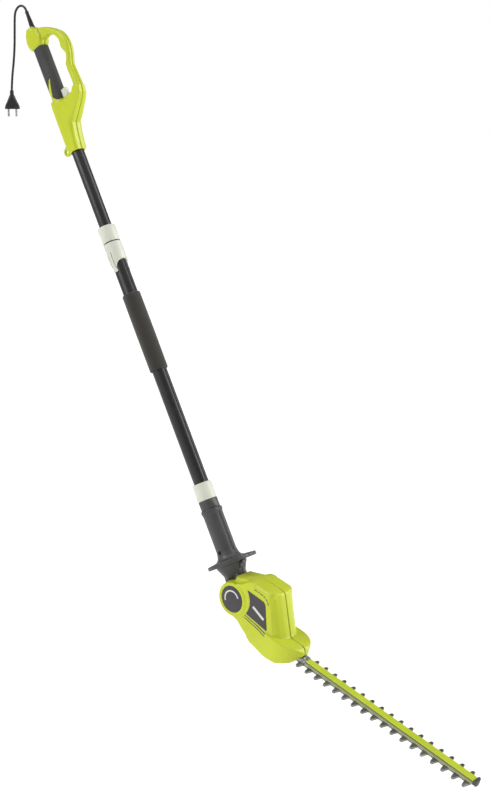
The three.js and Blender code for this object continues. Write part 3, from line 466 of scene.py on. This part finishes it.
def foam():
    """Dark foam with open pores."""
    finish = Finish("closed-cell foam", Sheen_Weight=0.25, Sheen_Roughness=0.6, Specular_IOR_Level=0.25)
    grain = finish.group(GRAIN, Grain_Scale=900.0, Tone_Scale=30.0)
    cells = finish.tree.nodes.new("ShaderNodeTexVoronoi")
    cells.inputs["Scale"].default_value = 750
    finish.tree.links.new(finish.coords, cells.inputs["Vector"])
    pores = remapped(finish.tree, cells.outputs["Distance"], 0.15, 0.6)
    body = finish.mixed(grain["Tone"], (0.014, 0.012, 0.009), (0.024, 0.021, 0.016))
    finish.colour(finish.mixed(pores, body, (0.034, 0.03, 0.024)))
    finish.rough(remapped(finish.tree, grain["Tone"], 0.0, 1.0, 0.86, 0.97))
    under = finish.bump(pores, 0.25 * MM, 0.7)
    finish.bump(grain["Height"], 0.2 * MM, 0.5, under)
    return finish.material


def ground_steel(name, dark, light, bright, rough):
    """Metal with fine lines along the blade and brighter worn corners."""
    finish = Finish(name, Metallic=1.0)
    drawn = finish.group(DRAWN, Turn=(0.0, -BLADE_DIP, 0.0), Stretch=(3.0, 40.0, 40.0))
    grain = finish.group(GRAIN, Grain_Scale=1200.0, Tone_Scale=22.0)
    edges = finish.group(EDGE_WEAR, Radius=0.7 * MM, Amount=0.9)["Mask"]
    body = finish.mixed(grain["Tone"], dark, light)
    body = finish.mixed(drawn["Marks"], body, light)
    finish.colour(finish.mixed(edges, body, bright))
    finish.rough(remapped(finish.tree, drawn["Lines"], 0.3, 0.7, *rough))
    finish.bump(drawn["Lines"], 0.03 * MM, 0.5)
    return finish.material


# The rail's flanks: a dark band of painted shade under the lime-coated top, where the top's lip shades the
# flank, then bare metal with fine lighter stripes of painted reflection.
# Heights, along the head, of the band of painted shade on the rail's flanks.
SHADE_BAND_TOP, SHADE_BAND_BOTTOM = -44.1 * MM, -46.1 * MM
# The soft edge of the painted bands, and the pitch of the lighter stripes of painted reflection.
SOFT_EDGE, REFLECTION_STRIPE_PITCH = 0.25 * MM, 2.6 * MM
# The colour of the painted shade band under the top.
RAIL_PAINTED_SHADE = (0.075, 0.095, 0.005)
# The bare flank's metal, and the lighter colour of its stripes of painted reflection.
BARE_RAIL, BARE_RAIL_REFLECTION = (0.27, 0.29, 0.14), (0.42, 0.44, 0.26)


def head_distance(finish, axis):
    """How far a point lies from the tilt pivot along one of the head's axes."""
    direction = HEAD.to_3x3() @ Vector(axis)
    node = finish.tree.nodes.new("ShaderNodeVectorMath")
    node.operation = "DOT_PRODUCT"
    finish.tree.links.new(finish.coords, node.inputs[0])
    node.inputs[1].default_value = direction
    return math_node(finish.tree, "SUBTRACT", node.outputs["Value"], direction.dot(PIVOT))


def coated_rail():
    """The guide rail's paint, with bare flanks that carry a band of painted shade under the top and lighter
    stripes of painted reflection.
    """

    def above(edge):
        return remapped(finish.tree, height, edge - SOFT_EDGE, edge)

    finish = Finish("lime coated rail", Coat_Weight=0.15, Coat_Roughness=0.25)
    drawn = finish.group(DRAWN, Turn=(0.0, -BLADE_DIP, 0.0), Stretch=(2.0, 45.0, 45.0))
    grain = finish.group(GRAIN, Grain_Scale=1400.0, Tone_Scale=18.0)
    edges = finish.group(EDGE_WEAR, Radius=0.9 * MM, Amount=0.55)["Mask"]
    body = finish.mixed(grain["Tone"], (0.47, 0.57, 0.018), (0.56, 0.66, 0.026))
    body = finish.mixed(drawn["Marks"], body, (0.42, 0.5, 0.03))
    height, along = (head_distance(finish, axis) for axis in ((0, 0, 1), (1, 0, 0)))
    # Painted reflection: lighter stripes along the bare flank stand in for reflected light.
    phase = math_node(finish.tree, "MULTIPLY", along, 2 * math.pi / REFLECTION_STRIPE_PITCH)
    reflection_stripes = math_node(finish.tree, "SINE", phase)
    bare = finish.mixed(remapped(finish.tree, reflection_stripes, -0.2, 0.6), BARE_RAIL, BARE_RAIL_REFLECTION)
    # Painted shade: a dark band on each flank just under the top, where the lip shades it; no groove is cut
    # there.
    flank = finish.mixed(above(SHADE_BAND_BOTTOM), bare, RAIL_PAINTED_SHADE)
    body = finish.mixed(above(SHADE_BAND_TOP), flank, body)
    finish.colour(finish.mixed(edges, body, (0.72, 0.76, 0.3)))
    finish.rough(remapped(finish.tree, grain["Smears"], 0.0, 1.0, 0.34, 0.46))
    finish.bump(drawn["Lines"], 0.03 * MM, 0.5)
    return finish.material


LIME = plastic(
    "lime plastic", base=(0.54, 0.61, 0.011), dark=(0.49, 0.56, 0.008), worn=(0.7, 0.76, 0.15),
    rough=(0.36, 0.48), grain_scale=2400.0, grain_depth=0.02 * MM,
    wear=0.35, Coat_Weight=0.06, Coat_Roughness=0.3,
)
CHARCOAL = plastic(
    "charcoal plastic", base=(0.062, 0.062, 0.064), dark=(0.048, 0.048, 0.05), worn=(0.16, 0.16, 0.16),
    rough=(0.4, 0.56), grain_scale=1500.0, grain_depth=0.05 * MM,
)
PALE = plastic(
    "pale grey plastic", base=(0.68, 0.7, 0.6), dark=(0.62, 0.64, 0.54), worn=(0.8, 0.82, 0.75),
    rough=(0.38, 0.5), grain_scale=2000.0, grain_depth=0.025 * MM, wear=0.3,
)
DARK_GLOSS = plastic(
    "dark label plastic", base=(0.043, 0.038, 0.046), dark=(0.034, 0.03, 0.037), worn=(0.12, 0.11, 0.12),
    rough=(0.28, 0.4), grain_scale=1900.0, grain_depth=0.02 * MM, wear=0.4,
)
RUBBER = plastic(
    "black rubber", base=(0.008, 0.008, 0.008), dark=(0.005, 0.005, 0.005), worn=(0.035, 0.035, 0.035),
    rough=(0.5, 0.66), grain_scale=1300.0, grain_depth=0.04 * MM, wear=0.4,
)
NYLON = plastic(
    "natural nylon", base=(0.66, 0.64, 0.53), dark=(0.6, 0.58, 0.47), worn=(0.76, 0.74, 0.64),
    rough=(0.45, 0.6), grain_scale=1300.0, grain_depth=0.03 * MM,
)
GRIP = soft_grip()
TUBE = tube_coating()
FOAM = foam()
BLADE_STEEL = ground_steel(
    "ground blade steel", (0.2, 0.2, 0.19), (0.32, 0.32, 0.3), (0.68, 0.68, 0.66), (0.3, 0.5)
)
SCREW_STEEL = ground_steel(
    "zinc plated steel", (0.3, 0.3, 0.3), (0.42, 0.42, 0.41), (0.7, 0.7, 0.7), (0.28, 0.42)
)
NICKEL = ground_steel(
    "nickel plate", (0.6, 0.6, 0.58), (0.72, 0.72, 0.7), (0.85, 0.85, 0.84), (0.16, 0.26)
)
CAST = ground_steel(
    "die cast alloy", (0.42, 0.42, 0.41), (0.52, 0.52, 0.51), (0.75, 0.75, 0.74), (0.38, 0.55)
)
COPPER = ground_steel(
    "enamelled copper", (0.36, 0.13, 0.05), (0.5, 0.2, 0.08), (0.7, 0.4, 0.25), (0.3, 0.45)
)
DARK_SCREW = ground_steel(
    "black oxide steel", (0.03, 0.03, 0.03), (0.05, 0.05, 0.05), (0.15, 0.15, 0.15), (0.4, 0.55)
)
RAIL = coated_rail()


# ---------------------------------------------------------------- cord
# The route is in millimetres, (X, Z) in the tool's middle plane, from the strain relief to the plug.
CORD_RADIUS = 2.75 * MM
CORD_ROUTE = [
    (-392.8, 739.0), (-395.3, 743.6), (-399.2, 748.0), (-404.0, 751.0), (-409.6, 752.9), (-415.4, 753.3),
    (-421.2, 752.1), (-426.5, 749.5), (-431.0, 745.8), (-434.6, 741.0), (-437.2, 734.0), (-438.8, 724.0),
    (-440.0, 708.0), (-441.2, 688.0), (-442.8, 666.0), (-445.8, 642.0), (-450.4, 616.0), (-455.6, 592.0),
    (-458.9, 570.0), (-460.1, 558.0), (-460.2, 552.5),
]


def make_cord():
    data = bpy.data.curves.new("supply_cord_flex", "CURVE")
    data.dimensions = "3D"
    data.bevel_depth = CORD_RADIUS
    data.bevel_resolution = 5
    data.use_fill_caps = True
    spline = data.splines.new("BEZIER")
    spline.resolution_u = 6
    spline.bezier_points.add(len(CORD_ROUTE) - 1)
    for point, (x, z) in zip(spline.bezier_points, CORD_ROUTE):
        point.co = (x * MM, 0, z * MM)
        point.handle_left_type = "AUTO"
        point.handle_right_type = "AUTO"
    piece = bpy.data.objects.new("supply_cord_flex", data)
    SCENE.collection.objects.link(piece)
    data.materials.append(RUBBER)
    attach(piece, "rear_handle")
    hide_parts("supply_cord")
    return piece


def make_plug():
    plug = moulded("plug_body", RUBBER, 0.6 * MM, 4)
    pins = [machined("plug_pin_left", NICKEL, 0.3 * MM), machined("plug_pin_right", NICKEL, 0.3 * MM)]
    return [plug, *pins]


cord = make_cord()
make_plug()


def make_strain_relief():
    """A tapered ribbed sleeve over the cord where it leaves the handle."""
    base, tip, bore, ribs = 1437.0, 1482.0, 3.0, 9
    widest, taper, groove = 5.9, 1.9, 0.7
    pitch = (tip - 7 - base - 6) / ribs
    profile = [(bore, base - 8), (5.6, base - 8), (5.6, base + 0.6), (6.3, base + 1), (6.3, base + 4)]
    profile.append((widest, base + 4.6))
    for i in range(ribs):
        z = base + 6 + i * pitch
        r = widest - taper * i / ribs
        profile += [(r - groove, z), (r - groove, z + pitch * 0.3), (r, z + pitch * 0.45)]
        profile += [(r - 0.06, z + pitch * 0.85)]
    profile += [(3.9, tip - 6.2), (4.4, tip - 5.4), (4.4, tip - 1.2), (3.9, tip - 0.3)]
    profile += [(3.4, tip), (bore, tip)]
    piece = turned("strain_relief_sleeve", profile, POLE @ Matrix.Translation((3 * MM, 0, 0)), 40)
    shade(piece, 40)
    settle(piece, "strain_relief", RUBBER)


make_strain_relief()


# ---------------------------------------------------------------- handle
for side in ("left", "right"):
    moulded(f"handle_shell_{side}", LIME, 1.0 * MM, 7)
    machined(f"grip_skin_{side}", GRIP, 0.6 * MM, 3)
machined("trigger", PALE, 0.9 * MM, 3)
machined("lock_off_button", RUBBER, 0.5 * MM, 3)
machined("switch_block", RUBBER)
machined("switch_plunger", NYLON, 0.3 * MM)
for number in (1, 2, 3):
    machined(f"handle_screw_{number}", SCREW_STEEL, 0.2 * MM)
    machined(f"head_screw_{number}", SCREW_STEEL, 0.2 * MM)
    machined(f"rail_screw_{number}", SCREW_STEEL, 0.3 * MM)


# ---------------------------------------------------------------- pole
def make_foam_grip():
    """A foam sleeve with pinched, rounded ends and a slight swell towards its middle."""
    half, outer, bore, swell = 96.0, 22.0, 17.8, 0.3
    profile = [(bore, -half + 0.6), (19.4, -half), (20.9, -half + 0.9), (21.7, -half + 2.6)]
    profile += [(outer - swell * abs(k) / 5, k * 17.0) for k in range(-5, 6)]
    profile += [(21.7, half - 2.6), (20.9, half - 0.9), (19.4, half), (bore, half - 0.6)]
    piece = turned("foam_grip_sleeve", profile, Matrix.Rotation(-POLE_LEAN, 4, "Y"), 96)
    shade(piece, 80)
    settle(piece, "foam_grip", FOAM)


make_foam_grip()
machined("outer_tube", TUBE, 0.5 * MM, 2, 28)
machined("inner_tube", TUBE, 0.5 * MM, 2, 28)
machined("collar_body", PALE, 0.7 * MM, 3)
machined("lock_ring", PALE, 0.8 * MM, 3)
machined("collet", NYLON)
machined("coupling_nut", PALE, 0.5 * MM, 2)
machined("threaded_socket", CHARCOAL, 0.4 * MM)
machined("inner_tube_bush", NYLON)
machined("coiled_inner_cable", RUBBER)
for side in ("left", "right"):
    moulded(f"neck_shell_{side}", CHARCOAL, 1.0 * MM, 4)
machined("neck_screw", DARK_SCREW, 0.2 * MM)
machined("tilt_release_button", CHARCOAL, 0.5 * MM, 3)

# ---------------------------------------------------------------- cutter head
SKINS = {}
for side in ("left", "right"):
    SKINS[f"head_shell_{side}"] = moulded(f"head_shell_{side}", LIME, 1.1 * MM, 8)
    SKINS[f"pivot_cap_{side}"] = machined(f"pivot_cap_{side}", DARK_GLOSS, 0.5 * MM, 3)
    SKINS[f"side_panel_{side}"] = machined(f"side_panel_{side}", DARK_GLOSS, 0.25 * MM, 2)
    machined(f"carbon_brush_{side}", RUBBER)
machined("pivot_bolt", SCREW_STEEL)
machined("motor_stator", SCREW_STEEL, 0.5 * MM)
machined("motor_armature", COPPER)
machined("motor_bearing_upper", NICKEL)
machined("motor_bearing_lower", NICKEL)
machined("cooling_fan", NYLON, 0.3 * MM)
machined("motor_pinion", SCREW_STEEL, 0.1 * MM)
machined("drive_gear", SCREW_STEEL, 0.15 * MM)
machined("gear_pin", NICKEL, 0.3 * MM)
machined("gear_case", CAST, 0.6 * MM)
machined("gear_cover", CAST, 0.6 * MM)
machined("upper_blade", BLADE_STEEL, 0.35 * MM, 2, 40)
machined("lower_blade", BLADE_STEEL, 0.35 * MM, 2, 40)
machined("guide_rail", RAIL, 0.4 * MM, 3, 20)
machined("blade_bracket", CAST, 0.5 * MM)
machined("tip_guard", CHARCOAL, 1.0 * MM, 3)


def side_place(side, y):
    """From a flat outline to the head's side: outline X forward, outline Y up, raised outwards."""
    turn = Matrix(((1, 0, 0, 0), (0, 0, side, 0), (0, 1, 0, 0), (0, 0, 0, 1)))
    return HEAD @ Matrix.Translation((0, side * y * MM, 0)) @ turn


MARK_HEIGHT, MARK_SINK = 0.25, 0.3  # millimetres above and below the skin
OUTSIDE = 80  # millimetres from the middle plane, well clear of the head's side
STRIPE_WIDTH = 2.2


def printed_mark(name, outline, material, side, skin):
    """A thin mark that lies on the side of the head, on the named CAD node, and follows its surface."""
    bm = bmesh.new()
    bm.faces.new([bm.verts.new((x * MM, y * MM, 0)) for x, y in outline]).normal_update()
    bmesh.ops.triangulate(bm, faces=bm.faces)
    bmesh.ops.subdivide_edges(bm, edges=bm.edges, cuts=3, use_grid_fill=True)
    bmesh.ops.transform(bm, matrix=side_place(side, OUTSIDE), verts=bm.verts)
    surface = BVHTree.FromPolygons(*surface_of(skin))
    for vert in bm.verts:
        found = surface.ray_cast(vert.co, Vector((0, -side, 0)))[0]
        if found:
            vert.co = found - Vector((0, side * MARK_SINK * MM, 0))
    raised = bmesh.ops.extrude_face_region(bm, geom=bm.faces[:])
    top = [v for v in raised["geom"] if isinstance(v, bmesh.types.BMVert)]
    bmesh.ops.translate(bm, verts=top, vec=(0, side * (MARK_SINK + MARK_HEIGHT) * MM, 0))
    piece = from_bmesh(name, bm)
    piece.data.materials.append(material)
    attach(piece, "head")


def surface_of(name):
    """The vertices and faces of a finished piece of the head."""
    mesh = SKINS[name].data
    return [v.co.copy() for v in mesh.vertices], [tuple(p.vertices) for p in mesh.polygons]


def bar(start, end, width):
    """The four corners of a straight bar."""
    a, b = Vector(start), Vector(end)
    along = (b - a).normalized()
    across = Vector((-along.y, along.x)) * width / 2
    return [tuple(c) for c in (a - across, b - across, b + across, a + across)]


def band(radius_out, radius_in, start, end, step):
    """An arc of even width about the pivot."""
    sweep = [math.radians(a) for a in range(start, end + 1, step)]
    outer = [(radius_out * math.cos(a), radius_out * math.sin(a)) for a in sweep]
    inner = [(radius_in * math.cos(a), radius_in * math.sin(a)) for a in reversed(sweep)]
    return outer + inner


DASHES = [
    ((53, 57), (61, 57.4)), ((63.5, 57.4), (68, 57.3)), ((70.5, 57.1), (79, 56.4)),
    ((81.5, 56), (86.5, 54.8)), ((88.6, 54), (94, 50.6)), ((95.6, 49), (99.4, 43)),
]

UPPER_STRIPE = ((44, -14.9), (113, -22.4))
LOWER_STRIPE = ((40.5, -20.4), (112, -28.8))

for side, label in ((-1, "left"), (1, "right")):
    shell, panel, cap = f"head_shell_{label}", f"side_panel_{label}", f"pivot_cap_{label}"
    printed_mark(f"tilt_mark_{label}", band(21.5, 18, 35, 215, 12), PALE, side, cap)
    dark_bars = {f"upper_stripe_{label}": UPPER_STRIPE, f"lower_stripe_{label}": LOWER_STRIPE}
    for name, ends in dark_bars.items():
        printed_mark(name, bar(*ends, STRIPE_WIDTH), DARK_GLOSS, side, shell)
    printed_mark(f"panel_mark_{label}", bar((61, 17), (97, 4), 6), PALE, side, panel)
    for number, ends in enumerate(DASHES, 1):
        name = f"dash_{number}_{label}"
        printed_mark(name, bar(*ends, STRIPE_WIDTH), DARK_GLOSS, side, shell)


# ---------------------------------------------------------------- studio
ROOM_LIGHT = 0.26
FRONT_LIGHT = 2.3  # from ahead of the tool, on its right side
SIDE_LIGHT = 1.7  # from behind the tool's left side
TOP_LIGHT = 0.4
FLOOR_GLOW = 0.26
FLOOR_DROP = 0.4  # clear of the blade as the head tilts down
FLOOR_SIZE = 30


def make_floor():
    """A wide, pale floor that glows a little, so that it stays near white."""
    lowest = cad_box[0][2]
    bm = bmesh.new()
    bmesh.ops.create_grid(bm, x_segments=1, y_segments=1, size=FLOOR_SIZE)
    floor = from_bmesh("floor", bm, Matrix.Translation((0, 0, lowest - FLOOR_DROP)))
    finish = Finish("pale floor", Specular_IOR_Level=0.1)
    grain = finish.group(GRAIN, Grain_Scale=300.0, Tone_Scale=1.5)
    finish.colour(finish.mixed(grain["Tone"], (0.93, 0.93, 0.93), (0.95, 0.95, 0.95)))
    finish.rough(remapped(finish.tree, grain["Smears"], 0.0, 1.0, 0.85, 0.95))
    finish.shader.inputs["Emission Color"].default_value = (1, 1, 1, 1)
    finish.shader.inputs["Emission Strength"].default_value = FLOOR_GLOW
    floor.data.materials.append(finish.material)


def sky(name, place, strength, spread):
    """A very soft distant light, shining from its place to the origin."""
    data = bpy.data.lights.new(name, "SUN")
    data.energy = strength
    data.angle = math.radians(spread)
    light = bpy.data.objects.new(name, data)
    SCENE.collection.objects.link(light)
    light.location = place
    aim(light, (0, 0, 0))


def make_studio():
    """A soft white room, seen by the camera as plain white, and three soft lights."""
    world = bpy.data.worlds.new("studio")
    world.use_nodes = True
    tree = world.node_tree
    room = tree.nodes["Background"]
    room.inputs["Color"].default_value = (1, 1, 1, 1)
    room.inputs["Strength"].default_value = ROOM_LIGHT
    backdrop = tree.nodes.new("ShaderNodeBackground")
    backdrop.inputs["Color"].default_value = (1, 1, 1, 1)
    seen = tree.nodes.new("ShaderNodeLightPath")
    choice = tree.nodes.new("ShaderNodeMixShader")
    tree.links.new(seen.outputs["Is Camera Ray"], choice.inputs["Fac"])
    tree.links.new(room.outputs["Background"], choice.inputs[1])
    tree.links.new(backdrop.outputs["Background"], choice.inputs[2])
    tree.links.new(choice.outputs["Shader"], tree.nodes["World Output"].inputs["Surface"])
    SCENE.world = world
    sky("front light", (2.6, 2.4, 1.5), FRONT_LIGHT, 40)
    sky("side light", (-1.6, -2.8, 2.2), SIDE_LIGHT, 34)
    sky("top light", (0.3, -0.3, 4.0), TOP_LIGHT, 60)
    SCENE.view_settings.view_transform = "Standard"


make_floor()
make_studio()
